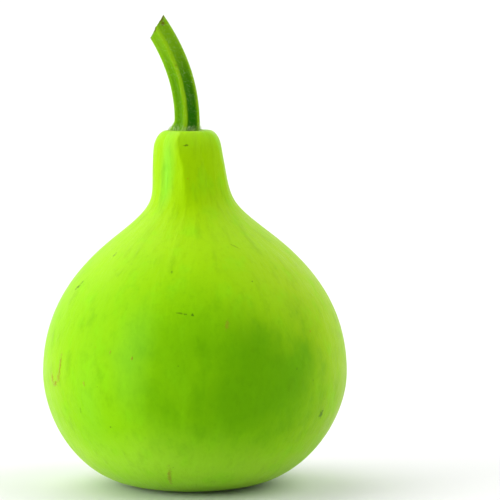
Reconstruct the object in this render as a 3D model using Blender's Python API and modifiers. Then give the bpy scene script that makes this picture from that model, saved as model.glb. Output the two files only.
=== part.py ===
"""Bottle gourd: one round, short-necked young fruit with its cut stem.

Metres, +Z up. The origin is the centre of the flat patch that the gourd stands on. The gourd's
front faces -Y. The neck leans a little towards -X, and the stem bends that way above it.
"""

import math

import bmesh
import bpy
import numpy as np
from mathutils import Matrix, Vector
from mathutils.geometry import interpolate_bezier

# Outline of the fruit: radii from its axis, and heights above the ground
BASE_RADIUS = 0.0200        # flat patch it stands on
BELLY_RADIUS = 0.0685
BELLY_HEIGHT = 0.0510
SHOULDER_RADIUS = 0.0355    # where the outline turns from bulging to hollow
SHOULDER_HEIGHT = 0.1125
SHOULDER_SLOPE = math.radians(52)
NECK_RADIUS = 0.0150
NECK_HEIGHT = 0.1525
NECK_SLOPE = math.radians(7)
CROWN_RADIUS = 0.0090       # flat top around the stem
CROWN_HEIGHT = 0.1600
CROWN_DIP = 0.0006          # the flat top sinks by this much at its middle

# How far each stretch of the outline keeps the direction it starts or ends with
BASE_PULL = 0.0315
BELLY_PULL_DOWN = 0.0205
BELLY_PULL_UP = 0.0260
SHOULDER_PULL = 0.0265
NECK_PULL_DOWN = 0.0250
NECK_PULL_UP = 0.0020
CROWN_PULL = 0.0040

# How the grown fruit differs from a turned one
BELLY_SHIFT = 0.0015        # the belly sits this far to +X of the patch it stands on
BASE_BLEND = 0.0450         # height by which that shift is complete
CROWN_LEAN = 0.0027         # the crown sits this far to -X of the belly
LEAN_START = 0.1110
LEAN_END = 0.1535
OVAL = 0.008                # share by which the belly's diagonals differ
RIBS = 5                    # the neck is softly five-sided
RIB_HEIGHT = 0.0018         # crest above the middle of the face beside it
RIB_ROUNDING = 0.15         # 0 is a knife edge
RIB_MIDDLE = 0.3            # share of that height at which the turned outline lies
RIB_ANGLE = math.radians(-98)
RIB_TWIST = math.radians(-10)
RIB_STRENGTHS = (1.0, 0.75, 0.9, 0.7, 0.85)
RIB_START = 0.1200          # ribs rise out of the smooth shoulder from here
RIB_FULL = 0.1420
RIB_TWIST_END = 0.1580

# Stem: its middle line stands on the crown, rises straight and then bends over
GAP = 0.0003                # clearance between the foot and its seat
SEAT_FLOOR = 0.1590
STEM_X = -0.0018
STEM_RISE = 0.0205
STEM_TIP = Vector((-0.0206, 0.0020, 0.2140))
STEM_TIP_LEAN = math.radians(37)
STEM_TIP_PULL = 0.0160
STEM_RADIUS = 0.0054
STEM_TAPER = 0.07           # share of the radius lost by the tip
STEM_RIBS = 5
STEM_RIB_HEIGHT = 0.00045   # crest to groove is twice this
STEM_RIB_ANGLE = math.radians(-96)
FOOT_FLARE = 0.38           # share by which the foot is wider than the stem
FOOT_LENGTH = 0.0016        # height over which most of the flare fades
HEEL_SHIFT = 0.0007         # the foot reaches further towards -X
HEEL_HEIGHT = 0.0050
HEEL_SHARES = (0.0, 0.05, 0.15, 0.3, 0.5, 0.75)     # heights of its sections, as shares

# The slanting cut across the stem
CUT_POINT = Vector((-0.0148, 0.0, 0.2072))
CUT_SLANT = math.radians(61)    # of the cut's normal, from upright towards -X
CUT_TILT = math.radians(3)      # turns the cut face a little to the back

# Fineness of the meshes
SIDES = 70
CURVE_STEPS = 11
STEM_SIDES = 40
STEM_STEPS = 16


def remove_everything():
    for found in list(bpy.data.objects):
        bpy.data.objects.remove(found, do_unlink=True)


def make_collection(name):
    collection = bpy.data.collections.new(name)
    bpy.context.scene.collection.children.link(collection)
    return collection


def make_material(name, colour, roughness):
    material = bpy.data.materials.new(name)
    material.use_nodes = True
    shader = material.node_tree.nodes["Principled BSDF"]
    shader.inputs["Base Color"].default_value = (*colour, 1.0)
    shader.inputs["Roughness"].default_value = roughness
    shader.inputs["Metallic"].default_value = 0.0
    return material


def skin_material():
    return make_material("gourd_skin", (0.36, 0.66, 0.03), 0.42)


def stem_material():
    return make_material("stem_green", (0.14, 0.34, 0.01), 0.55)


def smooth_step(value, start, end):
    share = np.clip((value - start) / (end - start), 0.0, 1.0)
    return share * share * (3.0 - 2.0 * share)


def side_point(radius, height):
    return Vector((radius, 0.0, height))


def upward(slope):
    """Direction that runs up and leans in towards the axis by the slope."""
    return Vector((-math.sin(slope), 0.0, math.cos(slope)))


def fruit_outline():
    """Half outline of the fruit, from the middle of the crown down to the middle of the base."""
    outward = Vector((1.0, 0.0, 0.0))
    base = side_point(BASE_RADIUS, 0.0)
    belly = side_point(BELLY_RADIUS, BELLY_HEIGHT)
    shoulder = side_point(SHOULDER_RADIUS, SHOULDER_HEIGHT)
    neck = side_point(NECK_RADIUS, NECK_HEIGHT)
    crown = side_point(CROWN_RADIUS, CROWN_HEIGHT)
    along_shoulder = upward(SHOULDER_SLOPE)
    along_neck = upward(NECK_SLOPE)
    stretches = (
        (crown, crown + outward * CROWN_PULL, neck + along_neck * NECK_PULL_UP, neck),
        (neck, neck - along_neck * NECK_PULL_DOWN, shoulder + along_shoulder * SHOULDER_PULL, shoulder),
        (shoulder, shoulder - along_shoulder * SHOULDER_PULL, belly + upward(0) * BELLY_PULL_UP, belly),
        (belly, belly - upward(0) * BELLY_PULL_DOWN, base + outward * BASE_PULL, base),
    )
    points = [side_point(0.0, CROWN_HEIGHT - CROWN_DIP), crown]
    for start, leave, arrive, end in stretches:
        points += interpolate_bezier(start, leave, arrive, end, CURVE_STEPS)[1:]
    points.append(side_point(0.0, 0.0))
    return points


def turned(name, outline, collection):
    """Mesh object of the outline turned once about Z."""
    mesh = bpy.data.meshes.new(name)
    edges = [(i, i + 1) for i in range(len(outline) - 1)]
    mesh.from_pydata(outline, edges, [])
    spun = bpy.data.objects.new(name, mesh)
    collection.objects.link(spun)
    screw = spun.modifiers.new("Turn", "SCREW")
    screw.steps = SIDES
    screw.render_steps = SIDES
    screw.use_merge_vertices = True
    screw.merge_threshold = 0.00001
    return as_mesh(spun, collection)


def as_mesh(source, collection):
    """Replace an object by a plain welded mesh of what its modifiers or its curve make."""
    name = source.name
    evaluated = source.evaluated_get(bpy.context.evaluated_depsgraph_get())
    mesh = bpy.data.meshes.new_from_object(evaluated)
    welded = bmesh.new()
    welded.from_mesh(mesh)
    bmesh.ops.remove_doubles(welded, verts=welded.verts, dist=0.00001)
    bmesh.ops.recalc_face_normals(welded, faces=welded.faces)
    welded.to_mesh(mesh)
    welded.free()
    place = source.matrix_world.copy()
    bpy.data.objects.remove(source, do_unlink=True)
    plain = bpy.data.objects.new(name, mesh)
    plain.matrix_world = place
    collection.objects.link(plain)
    return plain


def rib_offset(angle, height):
    """Radial rise and fall of the ribs round the neck."""
    twist = RIB_TWIST * smooth_step(height, RIB_FULL, RIB_TWIST_END)
    turns = (angle - RIB_ANGLE - twist) * RIBS / (2.0 * math.pi)
    nearest = np.round(turns)
    away = 2.0 * np.abs(turns - nearest)
    strength = np.array(RIB_STRENGTHS)[nearest.astype(int) % RIBS]
    crest = math.hypot(1.0, RIB_ROUNDING) - np.hypot(away, RIB_ROUNDING)
    return RIB_HEIGHT * (strength * crest - RIB_MIDDLE)


def grow_fruit(fruit):
    """Give the turned fruit its lean, its oval belly and its five-sided neck."""
    count = len(fruit.data.vertices)
    places = np.empty(count * 3)
    fruit.data.vertices.foreach_get("co", places)
    x, y, height = places.reshape(count, 3).T
    angle = np.arctan2(y, x)
    radius = np.hypot(x, y)
    on_belly = smooth_step(height, 0.0, BELLY_HEIGHT) * (1.0 - smooth_step(height, LEAN_START, LEAN_END))
    ribbed = smooth_step(height, RIB_START, RIB_FULL) * smooth_step(radius, 0.0, NECK_RADIUS)
    radius = radius * (1.0 + OVAL * np.sin(2.0 * angle) * on_belly)
    radius = radius + rib_offset(angle, height) * ribbed
    to_belly = 1.0 - np.clip(1.0 - height / BASE_BLEND, 0.0, 1.0) ** 1.5
    shift = BELLY_SHIFT * to_belly - CROWN_LEAN * smooth_step(height, LEAN_START, LEAN_END)
    grown = np.stack([radius * np.cos(angle) + shift, radius * np.sin(angle), height], axis=1)
    fruit.data.vertices.foreach_set("co", grown.ravel())
    fruit.data.update()


def cutter_from(bm, name, collection):
    """Wire-drawn object that cuts others and isn't part of the gourd."""
    mesh = bpy.data.meshes.new(name)
    bm.to_mesh(mesh)
    bm.free()
    cutter = bpy.data.objects.new(name, mesh)
    cutter.display_type = "WIRE"
    cutter.hide_render = True
    collection.objects.link(cutter)
    return cutter


def cut(target, cutter):
    boolean = target.modifiers.new("Cut", "BOOLEAN")
    boolean.operation = "DIFFERENCE"
    boolean.solver = "EXACT"
    boolean.object = cutter


def make_seat_cutter(collection):
    """Shallow round seat in the crown, a gap wider than the stem's foot."""
    foot = (STEM_RADIUS + STEM_RIB_HEIGHT) * (1.0 + FOOT_FLARE)
    depth = 0.010
    bm = bmesh.new()
    middle = Vector((STEM_X - HEEL_SHIFT, 0.0, SEAT_FLOOR + depth / 2.0))
    bmesh.ops.create_cone(bm, cap_ends=True, segments=STEM_SIDES, radius1=foot + GAP,
                          radius2=foot + GAP, depth=depth, matrix=Matrix.Translation(middle))
    return cutter_from(bm, "seat_cutter", collection)


def make_slant_cutter(collection):
    """Block whose lower face is the slanting cut across the stem."""
    size = 0.040
    bm = bmesh.new()
    turn = Matrix.Rotation(-CUT_SLANT, 4, "Y") @ Matrix.Rotation(-CUT_TILT, 4, "X")
    place = Matrix.Translation(CUT_POINT) @ turn @ Matrix.Translation((0.0, 0.0, size / 2.0))
    bmesh.ops.create_cube(bm, size=size, matrix=place)
    return cutter_from(bm, "slant_cutter", collection)


def make_fruit(collection, seat_cutter):
    fruit = turned("fruit", fruit_outline(), collection)
    grow_fruit(fruit)
    fruit.data.shade_smooth()
    fruit.data.materials.clear()
    fruit.data.materials.append(skin_material())
    cut(fruit, seat_cutter)
    return fruit


def stem_section(collection):
    """Closed five-ribbed outline that is swept along the stem."""
    section = bpy.data.curves.new("stem_section", "CURVE")
    section.dimensions = "2D"
    spline = section.splines.new("POLY")
    spline.points.add(STEM_SIDES - 1)
    spline.use_cyclic_u = True
    for i, point in enumerate(spline.points):
        angle = 2.0 * math.pi * i / STEM_SIDES
        radius = STEM_RADIUS + STEM_RIB_HEIGHT * math.cos(STEM_RIBS * (angle - STEM_RIB_ANGLE))
        point.co = (radius * math.cos(angle), radius * math.sin(angle), 0.0, 1.0)
    outline = bpy.data.objects.new("stem_section", section)
    outline.display_type = "WIRE"
    outline.hide_render = True
    collection.objects.link(outline)
    return outline


def stem_line():
    """Points up the middle of the stem with the share of the full radius at each."""
    foot = Vector((STEM_X, 0.0, SEAT_FLOOR + GAP))
    lean = upward(STEM_TIP_LEAN)
    rise = foot + Vector((0.0, 0.0, HEEL_HEIGHT))
    bend = interpolate_bezier(rise, rise + Vector((0.0, 0.0, STEM_RISE)),
                              STEM_TIP - lean * STEM_TIP_PULL, STEM_TIP, STEM_STEPS)
    heel = [foot.lerp(rise, share) for share in HEEL_SHARES]
    stations = []
    for point in heel + bend:
        above_foot = point.z - foot.z
        flare = FOOT_FLARE * math.exp(-above_foot / FOOT_LENGTH)
        taper = STEM_TAPER * above_foot / (STEM_TIP.z - foot.z)
        in_heel = 1.0 - float(smooth_step(above_foot, HEEL_HEIGHT * HEEL_SHARES[1], HEEL_HEIGHT))
        place = point - Vector((HEEL_SHIFT * in_heel, 0.0, 0.0))
        stations.append((place, 1.0 + flare - taper))
    return stations


def make_stem(collection, guides, slant_cutter):
    path = bpy.data.curves.new("stem", "CURVE")
    path.dimensions = "3D"
    path.twist_mode = "MINIMUM"
    path.bevel_mode = "OBJECT"
    path.bevel_object = stem_section(guides)
    path.use_fill_caps = True
    stations = stem_line()
    spline = path.splines.new("POLY")
    spline.points.add(len(stations) - 1)
    for point, (place, share) in zip(spline.points, stations):
        point.co = (*place, 1.0)
        point.radius = share
    swept = bpy.data.objects.new("stem", path)
    collection.objects.link(swept)
    stem = as_mesh(swept, collection)
    stem.data.shade_smooth()
    stem.data.materials.clear()
    stem.data.materials.append(stem_material())
    cut(stem, slant_cutter)
    return stem


def build():
    remove_everything()
    gourd = make_collection("bottle_gourd")
    cutters = make_collection("cutters")
    make_fruit(gourd, make_seat_cutter(cutters))
    make_stem(gourd, cutters, make_slant_cutter(cutters))


build()
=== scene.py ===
"""Looks of the bottle gourd: its skin, its stalk and the hairs on the stalk, on a pale floor.

Metres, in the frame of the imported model: the origin is under the gourd, +Z is up and -Y is its
front. A turn is an angle about the gourd's axis, 0 at the front and growing towards +X.
"""

import math
from types import SimpleNamespace

import bpy
import numpy as np
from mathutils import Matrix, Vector


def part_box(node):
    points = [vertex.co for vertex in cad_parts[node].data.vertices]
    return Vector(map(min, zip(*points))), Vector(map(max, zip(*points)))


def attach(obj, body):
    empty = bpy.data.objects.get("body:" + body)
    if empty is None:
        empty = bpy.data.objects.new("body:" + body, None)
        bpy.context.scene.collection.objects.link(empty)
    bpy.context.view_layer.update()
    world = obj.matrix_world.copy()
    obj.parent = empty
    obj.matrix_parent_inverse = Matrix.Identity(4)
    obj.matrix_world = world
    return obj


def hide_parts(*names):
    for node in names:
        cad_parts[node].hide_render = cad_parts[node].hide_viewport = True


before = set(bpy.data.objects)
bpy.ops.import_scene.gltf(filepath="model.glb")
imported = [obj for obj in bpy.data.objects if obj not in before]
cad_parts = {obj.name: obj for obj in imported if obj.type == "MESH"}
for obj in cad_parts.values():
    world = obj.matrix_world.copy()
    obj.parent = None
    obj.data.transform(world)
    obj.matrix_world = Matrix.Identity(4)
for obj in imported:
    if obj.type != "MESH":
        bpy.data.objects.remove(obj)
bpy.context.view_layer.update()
fruit_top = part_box("fruit")[1].z
stem_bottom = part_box("stem")[0].z

MM = 0.001

# Outline of the fruit, as radius and height
BASE = (0.0200, 0.0)
BELLY = (0.0685, 0.0510)
SHOULDER = (0.0355, 0.1125)
NECK = (0.0150, 0.1525)
CROWN = (0.0090, fruit_top)
CROWN_DIP = 0.0006
SHOULDER_SLOPE = math.radians(52)
NECK_SLOPE = math.radians(7)
BASE_PULL = 0.0315
BASE_FLAT_PULL = 0.0050
BELLY_PULL_DOWN = 0.0205
BELLY_PULL_UP = 0.0260
SHOULDER_PULL = 0.0265
NECK_PULL_DOWN = 0.0250
NECK_PULL_UP = 0.0020
CROWN_PULL = 0.0040

# Growth: what sets the fruit apart from a turned shape
BELLY_SHIFT = 0.0015
BASE_BLEND = 0.0450
CROWN_LEAN = 0.0027
LEAN_START = 0.1110
LEAN_END = 0.1535
OVAL = 0.008
RIBS = 5
RIB_HEIGHT = 0.0018
RIB_ROUNDING = 0.15
RIB_MIDDLE = 0.3
RIB_ANGLE = math.radians(-98)
RIB_TWIST = math.radians(-10)
RIB_STRENGTHS = (1.0, 0.75, 0.9, 0.7, 0.85)
RIB_EDGES = (1.0, 0.4, 0.3, 0.2, 0.0)       # how sharp the top of each rib is
RIB_EDGE_HEIGHT = 0.0007
RIB_EDGE_REACH = 0.40
RIB_EDGE_ROUNDING = 0.03
RIB_START = 0.1200
RIB_FULL = 0.1420
RIB_TWIST_END = 0.1580
SCAR_RADIUS = 0.0042        # blossom scar in the middle of the base
SCAR_DEPTH = 0.0009
BASE_FLATNESS = 0.0005      # what lies below this height is the flat base

# Stalk
STEM_X = -0.0018
STEM_FOOT = stem_bottom - 0.0003   # the stalk starts a little inside the crown
STEM_RISE = 0.0205
STEM_TIP = np.array((-0.0206, 0.0020, 0.2140))
STEM_TIP_LEAN = math.radians(37)
STEM_TIP_PULL = 0.0160
STEM_RADIUS = 0.0054
STEM_TAPER = 0.07
STEM_RIB_HEIGHT = 0.00045
STEM_RIB_ANGLE = math.radians(-96)
STRAND_HEIGHTS = (0.05 * MM, 0.035 * MM)    # fine strands between the ribs of the stalk
FOOT_FLARE = 0.38
FOOT_LENGTH = 0.0016
HEEL_SHIFT = 0.0007
HEEL_HEIGHT = 0.0050
CUT_POINT = np.array((-0.0148, 0.0, 0.2072))
CUT_SLANT = math.radians(61)
CUT_TILT = math.radians(3)
TORN_WAVES = 0.16 * MM          # how far the edge of the cut end strays, slowly and finely
TORN_TEETH = 0.10 * MM

# Fineness of the meshes
SIDES = 240
CURVE_STEPS = 42
CROWN_STEPS = 16
BASE_STEPS = 30
STEM_SIDES = 120
STEM_STEPS = 110
HEEL_STEPS = 24


# ---------------------------------------------------------------- shapes

def smooth_step(value, start, end):
    """Smooth change from 0 to 1 as the value goes from start to end."""
    share = np.clip((value - start) / (end - start), 0.0, 1.0)
    return share * share * (3.0 - 2.0 * share)


def curve_between(start, leave, arrive, end, steps):
    """Points of a cubic curve from start to end, pulled towards leave and arrive."""
    t = np.linspace(0.0, 1.0, steps)[:, None]
    s = 1.0 - t
    return s ** 3 * start + 3 * s * s * t * leave + 3 * s * t * t * arrive + t ** 3 * end


def fruit_outline():
    """Radius and height from the middle of the crown down to the middle of the base."""
    base, belly, shoulder, neck, crown = map(np.array, (BASE, BELLY, SHOULDER, NECK, CROWN))
    out = np.array((1.0, 0.0))
    up = np.array((0.0, 1.0))
    along_shoulder = np.array((-math.sin(SHOULDER_SLOPE), math.cos(SHOULDER_SLOPE)))
    along_neck = np.array((-math.sin(NECK_SLOPE), math.cos(NECK_SLOPE)))
    top = crown - (crown[0], CROWN_DIP)
    stretches = (
        (top, top + out * crown[0] / 2, crown - out * crown[0] / 3, crown, CROWN_STEPS),
        (crown, crown + out * CROWN_PULL, neck + along_neck * NECK_PULL_UP, neck, CURVE_STEPS // 2),
        (neck, neck - along_neck * NECK_PULL_DOWN, shoulder + along_shoulder * SHOULDER_PULL,
         shoulder, CURVE_STEPS),
        (shoulder, shoulder - along_shoulder * SHOULDER_PULL, belly + up * BELLY_PULL_UP, belly,
         CURVE_STEPS),
        (belly, belly - up * BELLY_PULL_DOWN, base + out * BASE_PULL, base, CURVE_STEPS),
        (base, base - out * BASE_FLAT_PULL, base - out * 2.0 * BASE_FLAT_PULL, base * 0.0, BASE_STEPS),
    )
    points = [curve_between(*stretch)[1:] for stretch in stretches]
    return np.vstack([top[None]] + points)


def rib_offset(angle, height):
    """How far the ribs of the neck push the skin out at this angle from +X and height."""
    twist = RIB_TWIST * smooth_step(height, RIB_FULL, RIB_TWIST_END)
    turns = (angle - RIB_ANGLE - twist) * RIBS / (2.0 * math.pi)
    nearest = np.round(turns)
    away = 2.0 * np.abs(turns - nearest)
    strength = np.array(RIB_STRENGTHS)[nearest.astype(int) % RIBS]
    crest = math.hypot(1.0, RIB_ROUNDING) - np.hypot(away, RIB_ROUNDING)
    edge = np.clip(1.0 - np.hypot(away, RIB_EDGE_ROUNDING) / RIB_EDGE_REACH, 0.0, 1.0) ** 2
    sharp = np.array(RIB_EDGES)[nearest.astype(int) % RIBS]
    return RIB_HEIGHT * (strength * crest - RIB_MIDDLE) + RIB_EDGE_HEIGHT * sharp * edge


def grown(radius, angle, height):
    """Places on the fruit's skin, for a turned shape's radius, angle from +X and height."""
    on_belly = smooth_step(height, 0.0, BELLY[1]) * (1.0 - smooth_step(height, LEAN_START, LEAN_END))
    ribbed = smooth_step(height, RIB_START, RIB_FULL) * smooth_step(radius, 0.0, NECK[0])
    wide = radius * (1.0 + OVAL * np.sin(2.0 * angle) * on_belly)
    wide = wide + rib_offset(angle, height) * ribbed
    to_belly = 1.0 - np.clip(1.0 - height / BASE_BLEND, 0.0, 1.0) ** 1.5
    shift = BELLY_SHIFT * to_belly - CROWN_LEAN * smooth_step(height, LEAN_START, LEAN_END)
    flat = height < BASE_FLATNESS
    in_scar = np.clip(1.0 - (radius / SCAR_RADIUS) ** 4, 0.0, 1.0) * flat
    return np.stack([wide * np.cos(angle) + shift, wide * np.sin(angle),
                     height + SCAR_DEPTH * in_scar], axis=-1)


def skin_point(turn, height):
    """Place on the skin at this turn, in degrees, and height."""
    points = fruit_outline()[::-1]
    outer = points[points[:, 1] > 0.2 * MM]
    radius = np.interp(height, outer[:, 1], outer[:, 0])
    return grown(radius, math.radians(turn - 90.0), np.array(height))


def sheet_faces(rows, sides):
    """Quads of a closed tube whose points are numbered row by row."""
    row, side = np.meshgrid(np.arange(rows - 1), np.arange(sides), indexing="ij")
    after = (side + 1) % sides
    return np.stack([row * sides + side, row * sides + after, (row + 1) * sides + after,
                     (row + 1) * sides + side], axis=-1).reshape(-1, 4)


def mesh_piece(name, points, faces):
    """Smooth-shaded object at the origin, made of these points and faces."""
    mesh = bpy.data.meshes.new(name)
    mesh.from_pydata(points.tolist(), [], faces)
    mesh.validate()
    mesh.shade_smooth()
    piece = bpy.data.objects.new(name, mesh)
    bpy.context.scene.collection.objects.link(piece)
    return piece


def make_skin():
    """Skin of the fruit: rings round the outline, closed at the crown and the base."""
    outline = fruit_outline()
    rings = outline[1:-1]
    angle = np.arange(SIDES) * 2.0 * math.pi / SIDES
    radius, turn = np.meshgrid(rings[:, 0], angle, indexing="ij")
    height = np.broadcast_to(rings[:, 1:2], radius.shape)
    body = grown(radius, turn, height).reshape(-1, 3)
    ends = grown(outline[[0, -1], 0], np.zeros(2), outline[[0, -1], 1])
    points = np.vstack([body, ends])
    last = (len(rings) - 1) * SIDES
    top, bottom = len(body), len(body) + 1
    faces = sheet_faces(len(rings), SIDES)[:, ::-1].tolist()
    for side in range(SIDES):
        after = (side + 1) % SIDES
        faces.append((top, side, after))
        faces.append((bottom, last + after, last + side))
    return mesh_piece("gourd_skin", points, faces)


def stem_line():
    """Middle line of the stalk, with the share of the full radius at each point."""
    foot = np.array((STEM_X, 0.0, STEM_FOOT))
    rise = foot + (0.0, 0.0, HEEL_HEIGHT)
    lean = np.array((-math.sin(STEM_TIP_LEAN), 0.0, math.cos(STEM_TIP_LEAN)))
    heel = foot + (rise - foot) * np.linspace(0.0, 1.0, HEEL_STEPS, endpoint=False)[:, None]
    bend = curve_between(rise, rise + (0.0, 0.0, STEM_RISE), STEM_TIP - lean * STEM_TIP_PULL,
                         STEM_TIP, STEM_STEPS)
    line = np.vstack([heel, bend])
    above = line[:, 2] - STEM_FOOT
    share = 1.0 + FOOT_FLARE * np.exp(-above / FOOT_LENGTH)
    share -= STEM_TAPER * above / (STEM_TIP[2] - STEM_FOOT)
    line[:, 0] -= HEEL_SHIFT * (1.0 - smooth_step(above, 0.0, HEEL_HEIGHT))
    return line, share


def stem_section(angle):
    """Radius of the stalk round its middle line: five ribs and finer strands between them."""
    wide, narrow = STRAND_HEIGHTS
    strands = wide * np.cos(25 * angle) + narrow * np.cos(43 * angle + 1.0)
    ribs = STEM_RIB_HEIGHT * np.cos(5 * (angle - STEM_RIB_ANGLE))
    return STEM_RADIUS + ribs + strands


def unit(vectors):
    """The same directions with length 1."""
    return vectors / np.linalg.norm(vectors, axis=-1, keepdims=True)


def stem_columns():
    """Places on the stalk's surface as rows up the stalk and columns round it, up to the cut."""
    line, share = stem_line()
    along = unit(np.gradient(line, axis=0))
    along[0] = (0.0, 0.0, 1.0)
    side = unit(np.array((1.0, 0.0, 0.0)) - along[:, :1] * along)
    front = np.cross(along, side)
    angle = np.arange(STEM_SIDES) * 2.0 * math.pi / STEM_SIDES
    reach = share[:, None] * stem_section(angle)
    surface = (line[:, None] + (reach * np.cos(angle))[..., None] * side[:, None]
               + (reach * np.sin(angle))[..., None] * front[:, None])
    normal = cut_normal()
    torn = TORN_WAVES * np.sin(7 * angle + 0.6) * np.sin(3 * angle) + TORN_TEETH * np.sin(17 * angle)
    beyond = (surface - CUT_POINT) @ normal - torn
    steps = np.arange(len(line), dtype=float)
    shares = np.linspace(0.0, 1.0, len(line))
    columns = np.empty_like(surface)
    for i in range(STEM_SIDES):
        last = int(np.argmax(beyond[:, i] > 0.0))
        before, after = beyond[last - 1, i], beyond[last, i]
        end = last - 1 + before / (before - after)
        for axis in range(3):
            columns[:, i, axis] = np.interp(shares * end, steps, surface[:, i, axis])
    return columns


def cut_normal():
    """Direction that the cut end of the stalk faces."""
    level = np.array((-math.sin(CUT_SLANT), 0.0, math.cos(CUT_SLANT)))
    return unit(level + np.array((0.0, math.tan(CUT_TILT), 0.0)))


# Rings of the cut face: share of the way out from the middle, and millimetres above the cut
CUT_RINGS = ((0.97, 0.10), (0.90, 0.02), (0.80, 0.10), (0.66, 0.05), (0.50, -0.25), (0.30, -0.45),
             (0.12, -0.50))
CUT_ROUGHNESS = 0.06                    # millimetres
PITH_HOLLOW = 0.0005
FOOT_HAIR_HEIGHTS = (0.0012, 0.0034)    # above the foot, where the long hairs thin out and end
DOWN_HEIGHTS = (0.0010, 0.0040)         # above the foot, where the short down begins and is full


def cut_face(rim, normal):
    """Rings of points that close the cut end inside its rim, and its middle point."""
    middle = rim.mean(axis=0)
    angle = np.arange(len(rim)) * 2.0 * math.pi / len(rim)
    rings = []
    for share, rise in CUT_RINGS:
        rough = CUT_ROUGHNESS * np.sin(11 * angle + 9 * share) * share
        rings.append(middle + (rim - middle) * share + normal * ((rise + rough) * MM)[:, None])
    return rings, middle - PITH_HOLLOW * normal


def make_stem():
    """Stalk with its cut end, its UV map and the values that its finish and hairs read."""
    columns = stem_columns()
    rows, sides = columns.shape[:2]
    rings, pith = cut_face(columns[-1], cut_normal())
    points = np.vstack([columns.reshape(-1, 3)] + rings + [pith, columns[0].mean(axis=0)])
    total = rows + len(CUT_RINGS)
    faces = sheet_faces(total, sides).tolist()
    tip, bottom = total * sides, total * sides + 1
    last = (total - 1) * sides
    for side in range(sides):
        after = (side + 1) % sides
        faces.append((last + side, last + after, tip))
        faces.append((bottom, after, side))
    piece = mesh_piece("gourd_stem", points, faces)
    mesh = piece.data
    on_cut = np.zeros(len(mesh.polygons), int)
    on_cut[(rows - 1) * sides:last] = 1
    on_cut[last::2] = 1
    mesh.polygons.foreach_set("material_index", on_cut)
    wrap_stem(mesh, rows, sides)
    inward = [1.0 - share for share, rise in CUT_RINGS for side in range(sides)]
    keep_values(mesh, "from_rim", [0.0] * (rows * sides) + inward + [1.0, 0.0])
    height = points[:, 2] - STEM_FOOT
    number = np.arange(len(points))
    grows = (number >= sides) & (number < (rows - 1) * sides)
    keep_values(mesh, "foot_hair", (1.0 - smooth_step(height, *FOOT_HAIR_HEIGHTS)) * grows)
    keep_values(mesh, "down", smooth_step(height, *DOWN_HEIGHTS) * grows)
    return piece


def keep_values(mesh, name, values):
    """Keep one number for each point of the mesh."""
    mesh.attributes.new(name, "FLOAT", "POINT").data.foreach_set("value", values)


def wrap_stem(mesh, rows, sides):
    """UV map of the stalk: across is the share of a turn, up is the share of the length."""
    layer = mesh.uv_layers.new(name="wrap")
    corners = np.empty(len(mesh.loops), int)
    mesh.loops.foreach_get("vertex_index", corners)
    row, side = corners // sides, corners % sides
    across = side / sides
    starts = np.repeat(np.arange(len(mesh.polygons)), [p.loop_total for p in mesh.polygons])
    widest = np.zeros(len(mesh.polygons))
    np.maximum.at(widest, starts, across)
    across = across + ((widest[starts] > 0.75) & (across < 0.25))
    up = np.clip(row / (rows - 1), 0.0, 1.0)
    layer.data.foreach_set("uv", np.stack([across, up], axis=1).ravel())


# ---------------------------------------------------------------- nodes

def put(tree, kind, inputs=None, **settings):
    """Add a node, with its settings, and with a value or a link for each named input."""
    made = tree.nodes.new(kind)
    for name, value in settings.items():
        setattr(made, name, value)
    for key, value in (inputs or {}).items():
        if isinstance(value, bpy.types.NodeSocket):
            tree.links.new(value, made.inputs[key])
        else:
            made.inputs[key].default_value = value
    return made


def calc(tree, operation, *values):
    """Result of a sum on numbers."""
    return put(tree, "ShaderNodeMath", dict(enumerate(values)), operation=operation).outputs[0]


def times(tree, first, second):
    return calc(tree, "MULTIPLY", first, second)


def larger(tree, first, second):
    return calc(tree, "MAXIMUM", first, second)


def swing(tree, noise, reach):
    """A noise value turned into one that goes either side of zero."""
    return times(tree, calc(tree, "SUBTRACT", noise, 0.5), reach)


def vec(tree, operation, *values):
    """Result of a sum on vectors."""
    return put(tree, "ShaderNodeVectorMath", dict(enumerate(values)), operation=operation).outputs[0]


def length(tree, vector):
    node = put(tree, "ShaderNodeVectorMath", {0: vector}, operation="LENGTH")
    return node.outputs["Value"]


def in_spot(tree, vector, centre, turned, half_size):
    """Distance from the middle of a spot, which is 1 at its rim."""
    own = put(tree, "ShaderNodeMapping", {
        "Vector": vector, "Location": centre, "Rotation": turned, "Scale": half_size},
        vector_type="TEXTURE")
    return length(tree, own.outputs[0])


def fade(tree, value, start, end, low=0.0, high=1.0):
    """Smooth change from low to high as the value goes from start to end."""
    node = put(tree, "ShaderNodeMapRange", {0: value, 1: start, 2: end, 3: low, 4: high},
               interpolation_type="SMOOTHSTEP")
    return node.outputs[0]


def grain(tree, vector, scale, detail=3.0, roughness=0.55):
    """Noise between about 0.25 and 0.75 with this many features to a unit of the vector."""
    inputs = {"Vector": vector, "Scale": scale, "Detail": detail, "Roughness": roughness}
    return put(tree, "ShaderNodeTexNoise", inputs).outputs["Fac"]


def tint(tree, share, first, second, mode="MIX"):
    """Colour that goes from the first to the second by the share."""
    first = (*first, 1.0) if isinstance(first, tuple) else first
    second = (*second, 1.0) if isinstance(second, tuple) else second
    return put(tree, "ShaderNodeMix", {0: share, 6: first, 7: second}, data_type="RGBA",
               blend_type=mode).outputs[2]


def start_finish(name):
    """New material, its tree, its shader and the place on the object."""
    material = bpy.data.materials.new(name)
    material.use_nodes = True
    tree = material.node_tree
    place = put(tree, "ShaderNodeTexCoord").outputs["Object"]
    return material, tree, tree.nodes["Principled BSDF"], place


def relief(tree, shader, layers):
    """Bump the surface by several heights, given with their depths in metres."""
    normal = None
    for height, depth in layers:
        inputs = {"Height": height, "Distance": depth, "Strength": 1.0}
        if normal:
            inputs["Normal"] = normal
        normal = put(tree, "ShaderNodeBump", inputs).outputs[0]
    tree.links.new(normal, shader.inputs["Normal"])


# ---------------------------------------------------------------- skin

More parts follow.
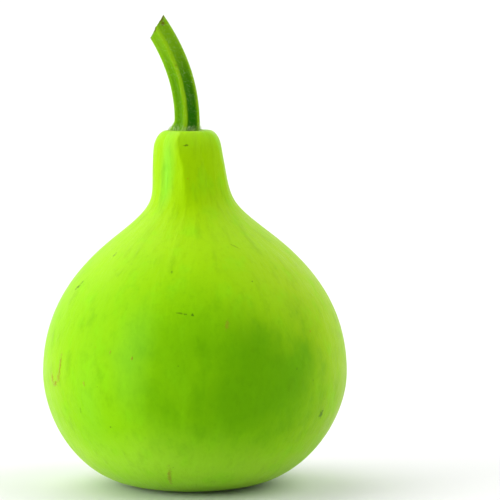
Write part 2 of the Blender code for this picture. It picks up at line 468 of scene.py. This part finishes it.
SKIN_LIME = (0.325, 0.610, 0.001)      # neck and shoulders
SKIN_BELLY = (0.240, 0.575, 0.002)     # greener round the belly
SKIN_LEAF = (0.115, 0.355, 0.001)      # dark patches on the belly
SKIN_YELLOW_AND_WARM_LIGHT = (0.375, 0.575, 0.002)      # yellower sides, partly the skin's own colour and partly painted warm light
SKIN_PALE = (0.330, 0.650, 0.012)      # crown and streaks
SKIN_UNDER_AND_BOUNCE = (0.335, 0.670, 0.024)     # paler underside, partly its own colour and partly painted light bounced from the floor
SKIN_COOL = (0.230, 0.650, 0.006)      # cloudy paler green
SKIN_MILKY = (0.210, 0.660, 0.050)     # paler, bluer green
SKIN_BACK_SHADE = (0.700, 0.680, 0.800)      # painted shade: how much darker the back is than the front
CORK = (0.300, 0.230, 0.020)
FRECKLE = (0.380, 0.240, 0.005)
SPECK = (0.030, 0.110, 0.004)
STREAK_SHADE = (0.840, 0.880, 0.900)   # how much darker the streaks and the mottling are
MOTTLE_SHADE = (0.910, 0.940, 0.900)
GREEN_GLOSS = (0.900, 1.000, 0.100, 1.0)
BLOSSOM = (0.160, 0.110, 0.045)

# Patches: turn, height, half length, half width, tilt from upright, strength
LEAF_PATCHES = (
    (23.0, 51.0, 38.0, 62.0, 6, 0.95),
    (-3.0, 58.0, 34.0, 24.0, 0, 0.60),
    (125.0, 60.0, 34.0, 40.0, -10, 0.5),
    (-150.0, 50.0, 38.0, 50.0, 14, 0.55),
)
# yellower patches, partly the skin's own colour and partly painted warm light on the sides
YELLOW_AND_WARM_LIGHT_PATCHES = (
    (70.0, 75.0, 110.0, 50.0, 0, 0.70),
    (-72.0, 45.0, 50.0, 30.0, 0, 0.35),
    (-170.0, 95.0, 45.0, 30.0, 0, 0.5),
)

# Marks on the skin, in the same order
CORK_MARKS = (
    (-59.0, 57.5, 5.2, 0.8, 2, 0.75),
    (-60.2, 52.5, 2.4, 0.9, 12, 0.55),
    (-62.6, 49.6, 1.0, 1.9, -20, 0.75),
    (-65.5, 51.6, 2.0, 1.1, -12, 0.65),
    (13.7, 78.9, 1.6, 0.9, 20, 0.5),
    (-11.0, 11.0, 4.0, 0.8, 10, 0.6),
    (-22.7, 64.7, 0.8, 0.4, 10, 0.7),
    (-43.5, 52.0, 1.0, 0.4, 0, 0.6),
    (-32.0, 66.7, 0.7, 0.4, 0, 0.6),
    (118.0, 70.0, 5.5, 0.5, 25, 0.7),
    (162.0, 40.0, 2.6, 0.9, -35, 0.6),
    (-128.0, 92.0, 3.5, 0.4, 12, 0.6),
    (-150.0, 30.0, 1.5, 1.0, 0, 0.6),
)
DARK_MARKS = (
    (-66.2, 91.6, 1.6, 0.75, 42, 0.75),
    (-64.8, 93.6, 1.2, 0.55, 42, 0.55),
    (-53.9, 106.2, 0.9, 0.45, 0, 0.6),
    (-5.2, 83.9, 1.2, 0.35, 98, 0.55),
    (-2.9, 83.5, 0.7, 0.32, 104, 0.6),
    (0.0, 83.2, 0.45, 0.55, 0, 0.75),
    (-3.5, 153.9, 1.0, 0.35, 82, 0.75),
    (59.0, 36.3, 1.6, 1.1, 10, 0.7),
    (-10.9, 100.6, 0.4, 0.35, 0, 0.5),
    (29.7, 96.2, 0.4, 0.35, 0, 0.5),
    (-5.2, 61.9, 0.35, 0.35, 0, 0.5),
    (42.0, 58.4, 0.6, 0.35, 0, 0.5),
    (50.5, 52.5, 0.45, 0.4, 0, 0.5),
    (28.5, 110.6, 1.9, 0.2, -60, 0.4),
    (-46.8, 39.8, 1.4, 0.25, 10, 0.4),
    (95.0, 60.0, 1.5, 0.4, 60, 0.6),
    (140.0, 88.0, 0.6, 0.5, 0, 0.6),
    (-100.0, 70.0, 2.0, 0.3, -30, 0.6),
    (-170.0, 62.0, 0.7, 0.5, 0, 0.6),
)
COOL_PATCHES = (
    (-40.0, 141.0, 19.0, 4.5, 0, 0.6),
    (-24.0, 64.0, 26.0, 10.0, 4, 0.2),
    (-42.0, 44.0, 20.0, 9.0, 0, 0.15),
    (100.0, 75.0, 24.0, 10.0, -6, 0.15),
    (-155.0, 90.0, 22.0, 9.0, 5, 0.2),
)


def marks(tree, place, ragged, group, soft=(1.35, 0.65), deep=20.0):
    """Share of the skin that a group of marks covers."""
    covered = 0.0
    for turn, height, half_length, half_width, tilt, strength in group:
        centre = tuple(skin_point(turn, height * MM))
        turned = (0.0, math.radians(tilt), math.radians(turn))
        half_size = (half_width * MM, deep * MM, half_length * MM)
        away = in_spot(tree, place, centre, turned, half_size)
        inside = fade(tree, calc(tree, "ADD", away, ragged), *soft, 0.0, strength)
        covered = larger(tree, inside, covered)
    return covered


def ground_colour(tree, place, height, depth, noise):
    """Greens of the skin, from crown to base, with patches, streaks and mottling; the paler underside
    and yellower sides are partly painted light, and the back is darkened with painted shade.
    """
    drift = swing(tree, noise.patches, 2.0)
    wavy = calc(tree, "ADD", height, times(tree, drift, 0.020))
    colour = tint(tree, fade(tree, wavy, 0.125, 0.070), SKIN_LIME, SKIN_BELLY)
    # paler towards the base: partly the underside's own colour, partly painted floor bounce light
    colour = tint(tree, fade(tree, wavy, 0.040, 0.012), colour, SKIN_UNDER_AND_BOUNCE)
    colour = tint(tree, times(tree, fade(tree, height, 0.148, 0.160), 0.5), colour, SKIN_PALE)
    gentle = times(tree, drift, 0.6)
    # yellower sides: partly own colour, partly painted warm light
    yellow_and_warm_light = marks(tree, place, gentle, YELLOW_AND_WARM_LIGHT_PATCHES, (1.3, 0.2), 60.0)
    colour = tint(tree, yellow_and_warm_light, colour, SKIN_YELLOW_AND_WARM_LIGHT)
    streaky = calc(tree, "ADD", gentle, swing(tree, noise.streaks, 0.9))
    leaf = marks(tree, place, streaky, LEAF_PATCHES, (1.25, 0.15), 60.0)
    colour = tint(tree, leaf, colour, SKIN_LEAF)
    milky = marks(tree, place, gentle, COOL_PATCHES, (1.4, 0.1))
    colour = tint(tree, milky, colour, SKIN_MILKY)
    light_part = fade(tree, leaf, 0.9, 0.1, 0.25, 1.0)
    cool = times(tree, fade(tree, noise.clouds, 0.50, 0.72), times(tree, light_part, 0.35))
    colour = tint(tree, cool, colour, SKIN_COOL)
    pale = times(tree, fade(tree, noise.fibres, 0.54, 0.72), times(tree, light_part, 0.14))
    colour = tint(tree, pale, colour, SKIN_PALE)
    # painted shade: the back half of the skin is darkened
    colour = tint(tree, fade(tree, depth, 0.008, 0.045), colour, SKIN_BACK_SHADE, "MULTIPLY")
    colour = tint(tree, fade(tree, noise.streaks, 0.50, 0.74), colour, STREAK_SHADE, "MULTIPLY")
    return tint(tree, fade(tree, noise.mottle, 0.48, 0.72), colour, MOTTLE_SHADE, "MULTIPLY")


def freckled(tree, place, colour):
    """The colour with tiny scattered dots on it, most of them tan and the rest dark."""
    cells = put(tree, "ShaderNodeTexVoronoi", {"Vector": place, "Scale": 150.0}, feature="F1")
    drawn = put(tree, "ShaderNodeSeparateColor", {0: cells.outputs["Color"]}).outputs
    dots = times(tree, fade(tree, cells.outputs["Distance"], 0.085, 0.045),
                 fade(tree, drawn[0], 0.78, 0.80))
    shown = tint(tree, fade(tree, drawn[1], 0.60, 0.65), FRECKLE, SPECK)
    return tint(tree, times(tree, dots, 0.55), colour, shown)


def foot_seam(tree, place, height):
    """Broken corky ring on the crown, round the foot of the stalk."""
    middle = (STEM_X - HEEL_SHIFT, 0.0, 0.0)
    level = vec(tree, "MULTIPLY", place, (1.0, 1.0, 0.0))
    from_foot = length(tree, vec(tree, "SUBTRACT", level, middle))
    ring = times(tree, fade(tree, from_foot, 0.0092, 0.0078), fade(tree, height, 0.150, 0.155))
    broken = times(tree, ring, fade(tree, grain(tree, place, 260.0), 0.42, 0.62))
    return times(tree, broken, 0.8)


def blossom_scar(tree, height, out, ragged):
    """Brown scar in the middle of the base."""
    rough_out = calc(tree, "ADD", out, times(tree, ragged, 0.0004))
    return times(tree, fade(tree, height, 0.0035, 0.0005), fade(tree, rough_out, 0.0060, 0.0040))


def skin_finish():
    """Smooth lime skin, with a soft sheen that turns pale where it is seen edge on."""
    material, tree, shader, place = start_finish("lime_skin")
    axis = vec(tree, "SUBTRACT", place, (BELLY_SHIFT, 0.0, 0.0))
    level = vec(tree, "MULTIPLY", axis, (1.0, 1.0, 0.0))
    parts = put(tree, "ShaderNodeSeparateXYZ", {0: axis}).outputs
    depth, height = parts["Y"], parts["Z"]
    lift = put(tree, "ShaderNodeCombineXYZ", {"Z": times(tree, height, 11.0)}).outputs[0]
    lengthwise = vec(tree, "ADD", vec(tree, "NORMALIZE", level), lift)
    noise = SimpleNamespace(
        patches=grain(tree, place, 28.0, 2.0),
        clouds=grain(tree, vec(tree, "MULTIPLY", place, (1.0, 1.0, 0.6)), 120.0, 4.0),
        streaks=grain(tree, lengthwise, 8.0, 5.0, 0.62),
        fibres=grain(tree, lengthwise, 34.0, 5.0, 0.65),
        mottle=grain(tree, vec(tree, "MULTIPLY", place, (1.0, 1.0, 0.5)), 420.0, 4.0, 0.65),
        pores=grain(tree, place, 900.0, 2.0))

    colour = ground_colour(tree, place, height, depth, noise)
    ragged = swing(tree, grain(tree, place, 1100.0, 3.0), 3.2)
    cork = marks(tree, place, ragged, CORK_MARKS, (1.5, 0.3))
    dark = marks(tree, place, ragged, DARK_MARKS)
    scar = blossom_scar(tree, height, length(tree, level), ragged)
    colour = tint(tree, cork, colour, CORK)
    colour = tint(tree, dark, colour, SPECK)
    colour = freckled(tree, place, colour)
    colour = tint(tree, foot_seam(tree, place, height), colour, CORK)
    colour = tint(tree, scar, colour, BLOSSOM)
    tree.links.new(colour, shader.inputs["Base Color"])

    rough = fade(tree, noise.clouds, 0.3, 0.7, 0.38, 0.50)
    worn = times(tree, larger(tree, cork, scar), 0.85)
    tree.links.new(larger(tree, rough, worn), shader.inputs["Roughness"])
    shader.inputs["IOR"].default_value = 1.18
    shader.inputs["Specular Tint"].default_value = GREEN_GLOSS
    shader.inputs["Sheen Weight"].default_value = 0.12
    shader.inputs["Sheen Roughness"].default_value = 0.30
    shader.inputs["Sheen Tint"].default_value = (1.0, 1.0, 0.40, 1.0)
    relief(tree, shader, (
        (noise.streaks, 0.00045),
        (noise.fibres, 0.00012),
        (noise.pores, 0.00006),
        (larger(tree, cork, times(tree, dark, -0.6)), 0.00025),
    ))
    return material


# ---------------------------------------------------------------- stalk

STALK_GREEN = (0.120, 0.320, 0.001)
# darker grooves, and the dark side of the stalk, which is partly painted shade
STALK_GROOVE_AND_SHADE = (0.016, 0.130, 0.0005)
STALK_RIB = (0.235, 0.450, 0.006)
STALK_TIP = (0.260, 0.520, 0.010)
BROWN = (0.120, 0.055, 0.015)
PITH = (0.500, 0.600, 0.250)
STRANDS = (0.120, 0.330, 0.020)
HAIR = (0.850, 0.960, 0.600)
DOWN = (0.480, 0.700, 0.180)
SHADED_SIDE = math.radians(-66)   # the darkest side of the stalk, round one of its grooves, from +X: partly its own dark green and partly painted shade

# Rusty marks: place across and up the stalk, and half their size both ways
RUST_MARKS = ((0.955, 0.80, 0.016, 0.060), (0.740, 0.64, 0.010, 0.009), (0.850, 0.965, 0.035, 0.018),
              (0.300, 0.40, 0.020, 0.020))


def stalk_wrap(tree):
    """Across and up the stalk, and a vector for strands that run along it."""
    wrap = put(tree, "ShaderNodeUVMap", uv_map="wrap").outputs[0]
    parts = put(tree, "ShaderNodeSeparateXYZ", {0: wrap})
    across, up = parts.outputs["X"], parts.outputs["Y"]
    turn = times(tree, across, 2.0 * math.pi)
    strand = put(tree, "ShaderNodeCombineXYZ", {
        "X": calc(tree, "COSINE", turn),
        "Y": calc(tree, "SINE", turn),
        "Z": times(tree, up, 1.2)}).outputs[0]
    return wrap, turn, up, strand


def stalk_finish():
    """Ribbed green stalk with one dark side that is partly painted shade, lighter towards its end, with
    a few rusty marks.
    """
    material, tree, shader, place = start_finish("stalk_green")
    wrap, turn, up, strand = stalk_wrap(tree)
    strands = grain(tree, strand, 7.0, 5.0, 0.7)
    blotches = grain(tree, place, 320.0, 3.0)
    rib_turn = times(tree, calc(tree, "SUBTRACT", turn, STEM_RIB_ANGLE), 5.0)
    ribs = calc(tree, "ADD", calc(tree, "COSINE", rib_turn), swing(tree, strands, 1.6))
    # painted shade, partly the stalk's own dark green: a dark stripe down the side away from the light,
    # fading towards the cut end
    shaded_side = calc(tree, "COSINE", calc(tree, "SUBTRACT", turn, SHADED_SIDE))
    shade_stripe = times(tree, fade(tree, shaded_side, 0.80, 0.97), fade(tree, up, 0.85, 0.25, 0.25, 1.0))
    groove_and_shade = larger(tree, times(tree, fade(tree, ribs, 0.2, -0.7), 0.30), shade_stripe)
    colour = tint(tree, groove_and_shade, STALK_GREEN, STALK_GROOVE_AND_SHADE)
    ridge = times(tree, fade(tree, ribs, 0.35, 0.95), fade(tree, shaded_side, 0.97, 0.90))
    colour = tint(tree, ridge, colour, STALK_RIB)
    colour = tint(tree, times(tree, fade(tree, up, 0.45, 1.0), 0.55), colour, STALK_TIP)
    colour = tint(tree, times(tree, fade(tree, blotches, 0.5, 0.7), 0.25), colour, STALK_GREEN)
    rust = 0.0
    for across, along, half_across, half_along in RUST_MARKS:
        away = in_spot(tree, wrap, (across, along, 0.0), (0.0, 0.0, 0.0), (half_across, half_along, 1.0))
        rust = larger(tree, rust, fade(tree, away, 1.2, 0.5))
    edge = times(tree, fade(tree, up, 0.975, 1.0), fade(tree, blotches, 0.42, 0.60))
    colour = tint(tree, larger(tree, times(tree, rust, 0.7), edge), colour, BROWN)
    tree.links.new(colour, shader.inputs["Base Color"])
    shader.inputs["Roughness"].default_value = 0.55
    shader.inputs["IOR"].default_value = 1.16
    shader.inputs["Specular Tint"].default_value = GREEN_GLOSS
    relief(tree, shader, ((strands, 0.0005), (blotches, 0.0001)))
    return material


def cut_finish():
    """Cut end: green rind, a ring of strands and a pale spongy middle, drying at the edge."""
    material, tree, shader, place = start_finish("stalk_cut")
    inward = put(tree, "ShaderNodeAttribute", attribute_name="from_rim").outputs["Fac"]
    speckle = grain(tree, place, 900.0, 3.0, 0.7)
    inward = calc(tree, "ADD", inward, swing(tree, speckle, 0.16))
    colour = tint(tree, fade(tree, inward, 0.16, 0.24), STALK_GREEN, STRANDS)
    colour = tint(tree, fade(tree, inward, 0.34, 0.50), colour, PITH)
    dry = times(tree, fade(tree, inward, 0.12, 0.02), fade(tree, speckle, 0.35, 0.60))
    colour = tint(tree, dry, colour, BROWN)
    colour = tint(tree, times(tree, fade(tree, inward, 0.75, 1.0), 0.5), colour, CORK)
    tree.links.new(colour, shader.inputs["Base Color"])
    shader.inputs["Roughness"].default_value = 0.7
    relief(tree, shader, ((speckle, 0.0004),))
    return material


def hair_finish():
    """Whitish green hairs."""
    material, tree, shader, place = start_finish("stalk_hair")
    patchy = grain(tree, place, 500.0, 2.0)
    colour = tint(tree, fade(tree, patchy, 0.35, 0.65), HAIR, DOWN)
    tree.links.new(colour, shader.inputs["Base Color"])
    shader.inputs["Roughness"].default_value = 0.6
    return material


# ---------------------------------------------------------------- hairs

HAIR_POINT = 0.00001            # radius of a hair's tip
HAIR_BOW = 0.35                 # how far the tip bends aside, as a share of the hair's length
HAIR_SIZES = (0.5, 1.25)        # smallest and largest hair, as shares of the length given
STRAY_FROM = (-0.45, -0.45, -0.25)
STRAY_TO = (0.45, 0.45, 0.45)


def hair_tree():
    """Short tapering hairs that grow where an attribute of the surface says, and lean upwards."""
    tree = bpy.data.node_groups.new("grow_hairs", "GeometryNodeTree")
    group = tree.interface
    group.new_socket("Surface", in_out="INPUT", socket_type="NodeSocketGeometry")
    for name, kind in (("Where", "String"), ("Per square metre", "Float"), ("Length", "Float"),
                       ("Thickness", "Float"), ("Upward", "Float"), ("Seed", "Int"),
                       ("Finish", "Material")):
        group.new_socket(name, in_out="INPUT", socket_type="NodeSocket" + kind)
    group.new_socket("Hairs", in_out="OUTPUT", socket_type="NodeSocketGeometry")
    given = tree.nodes.new("NodeGroupInput").outputs

    share = put(tree, "GeometryNodeInputNamedAttribute", {"Name": given["Where"]}, data_type="FLOAT")
    dense = times(tree, share.outputs["Attribute"], given["Per square metre"])
    roots = put(tree, "GeometryNodeDistributePointsOnFaces", {
        "Mesh": given["Surface"], "Density": dense, "Seed": given["Seed"]})

    cone = put(tree, "GeometryNodeMeshCone", {
        "Vertices": 3, "Side Segments": 3, "Fill Segments": 1, "Radius Top": HAIR_POINT,
        "Radius Bottom": given["Thickness"], "Depth": given["Length"]})
    where = put(tree, "GeometryNodeInputPosition").outputs[0]
    height = put(tree, "ShaderNodeSeparateXYZ", {0: where}).outputs["Z"]
    share_up = calc(tree, "DIVIDE", height, given["Length"])
    bow = times(tree, times(tree, share_up, share_up), given["Length"])
    aside = put(tree, "ShaderNodeCombineXYZ", {"X": times(tree, bow, HAIR_BOW)}).outputs[0]
    bent = put(tree, "GeometryNodeSetPosition", {"Geometry": cone.outputs["Mesh"], "Offset": aside})

    stray = put(tree, "FunctionNodeRandomValue", {
        0: STRAY_FROM, 1: STRAY_TO, "Seed": given["Seed"]},
        data_type="FLOAT_VECTOR").outputs[0]
    upward = put(tree, "ShaderNodeCombineXYZ", {"Z": given["Upward"]}).outputs[0]
    out = vec(tree, "ADD", roots.outputs["Normal"], upward)
    lean = put(tree, "FunctionNodeAlignRotationToVector", {"Vector": vec(tree, "ADD", out, stray)},
               axis="Z").outputs[0]
    smallest, largest = HAIR_SIZES
    size = put(tree, "FunctionNodeRandomValue", {
        2: smallest, 3: largest, "Seed": given["Seed"]}, data_type="FLOAT").outputs[1]
    placed = put(tree, "GeometryNodeInstanceOnPoints", {
        "Points": roots.outputs["Points"], "Instance": bent.outputs[0], "Rotation": lean,
        "Scale": size})
    real = put(tree, "GeometryNodeRealizeInstances", {"Geometry": placed.outputs[0]})
    painted = put(tree, "GeometryNodeSetMaterial", {
        "Geometry": real.outputs[0], "Material": given["Finish"]})
    tree.links.new(painted.outputs[0], tree.nodes.new("NodeGroupOutput").inputs[0])
    return tree


def grow_hairs(name, tree, surface, values):
    """Plain mesh of the hairs that the tree grows on a surface."""
    grower = bpy.data.objects.new(name, surface.data.copy())
    bpy.context.scene.collection.objects.link(grower)
    growth = grower.modifiers.new("Grow", "NODES")
    growth.node_group = tree
    sockets = {item.name: item.identifier for item in tree.interface.items_tree}
    for key, value in values.items():
        growth[sockets[key]] = value
    evaluated = grower.evaluated_get(bpy.context.evaluated_depsgraph_get())
    mesh = bpy.data.meshes.new_from_object(evaluated)
    bpy.data.objects.remove(grower, do_unlink=True)
    hairs = bpy.data.objects.new(name, mesh)
    bpy.context.scene.collection.objects.link(hairs)
    return hairs


# ---------------------------------------------------------------- studio

# Soft lights: turn and height they come from and their softness, in degrees, and their power
SUNS = (
    ("low_left", -70.0, 14.0, 50.0, 2.5),
    ("back_left", -125.0, 55.0, 60.0, 1.45),
    ("right", 82.0, 42.0, 60.0, 1.45),
    ("back_right", 150.0, 42.0, 60.0, 0.55),
)


def add_sun(name, turn, height, softness, power):
    """Soft light that comes from this turn and height."""
    light = bpy.data.lights.new(name, "SUN")
    light.energy = power
    light.angle = math.radians(softness)
    sun = bpy.data.objects.new(name, light)
    turn, height = math.radians(turn), math.radians(height)
    towards = Vector((math.sin(turn) * math.cos(height), -math.cos(turn) * math.cos(height),
                      math.sin(height)))
    sun.rotation_euler = towards.to_track_quat("Z", "Y").to_euler()
    bpy.context.scene.collection.objects.link(sun)


BRIGHT_WAY = (-0.45, 0.85, 0.25)    # where the daylight is brightest


def make_world():
    """Soft daylight, brighter behind the gourd and to its left, white along the horizon."""
    world = bpy.data.worlds.new("soft_room")
    bpy.context.scene.world = world
    world.use_nodes = True
    tree = world.node_tree
    way = put(tree, "ShaderNodeTexCoord").outputs["Generated"]
    facing = put(tree, "ShaderNodeVectorMath", {0: way, 1: BRIGHT_WAY},
                 operation="DOT_PRODUCT").outputs["Value"]
    power = fade(tree, facing, -0.6, 0.8, 0.08, 0.85)
    rise = put(tree, "ShaderNodeSeparateXYZ", {0: way}).outputs["Z"]
    power = larger(tree, power, fade(tree, rise, 0.14, 0.07, 0.0, 1.05))
    tree.links.new(power, tree.nodes["Background"].inputs["Strength"])
    tree.nodes["Background"].inputs["Color"].default_value = (1.0, 1.0, 1.0, 1.0)


FLOOR_REACH = 30.0


def make_floor():
    """Pale floor that reaches far beyond what is seen."""
    corners = np.array(((-1, -1, 0), (1, -1, 0), (1, 1, 0), (-1, 1, 0))) * FLOOR_REACH
    floor = mesh_piece("floor", corners, [(0, 1, 2, 3)])
    material, tree, shader, place = start_finish("white_table")
    soft = grain(tree, place, 3.0, 2.0)
    colour = tint(tree, soft, (0.75, 0.75, 0.75), (0.77, 0.77, 0.77))
    tree.links.new(colour, shader.inputs["Base Color"])
    shader.inputs["Roughness"].default_value = 0.9
    shader.inputs["Specular IOR Level"].default_value = 0.1
    floor.data.materials.append(material)


CAMERA_FAR = 1.400
CAMERA_RISE = math.radians(5)
VIEW_WIDTH = 0.225              # how wide a strip the camera takes in at the gourd's distance
AIM_ASIDE = 0.02475             # the camera aims to the right of the gourd, at this height
AIM_HEIGHT = 0.1060
AIM = Vector((BELLY_SHIFT + AIM_ASIDE, 0.0, AIM_HEIGHT))


def make_camera():
    """Camera a little above the gourd, looking at it from the front."""
    lens = bpy.data.cameras.new("camera")
    lens.sensor_width = 36.0
    lens.lens = lens.sensor_width * CAMERA_FAR / VIEW_WIDTH
    lens.clip_end = 100.0
    camera = bpy.data.objects.new("camera", lens)
    back = Vector((0.0, -math.cos(CAMERA_RISE), math.sin(CAMERA_RISE)))
    camera.location = AIM + back * CAMERA_FAR
    camera.rotation_euler = back.to_track_quat("Z", "Y").to_euler()
    bpy.context.scene.collection.objects.link(camera)
    bpy.context.scene.camera = camera


# ---------------------------------------------------------------- making

def make_gourd():
    """Every piece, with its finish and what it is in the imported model."""
    skin = make_skin()
    skin.data.materials.append(skin_finish())
    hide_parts("fruit")
    stem = make_stem()
    stem.data.materials.append(stalk_finish())
    stem.data.materials.append(cut_finish())
    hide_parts("stem")
    tree = hair_tree()
    white = hair_finish()
    foot_hairs = grow_hairs("foot_hairs", tree, stem, {
        "Where": "foot_hair", "Per square metre": 6.5e6, "Length": 1.35 * MM,
        "Thickness": 0.055 * MM, "Upward": 0.7, "Seed": 3, "Finish": white})
    stem_down = grow_hairs("stem_down", tree, stem, {
        "Where": "down", "Per square metre": 1.3e6, "Length": 0.6 * MM,
        "Thickness": 0.030 * MM, "Upward": 0.2, "Seed": 8, "Finish": white})
    for piece in (skin, stem, foot_hairs, stem_down):
        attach(piece, "root")


make_camera()
make_world()
make_floor()
for sun in SUNS:
    add_sun(*sun)
make_gourd()
bpy.context.scene.view_settings.view_transform = "Standard"
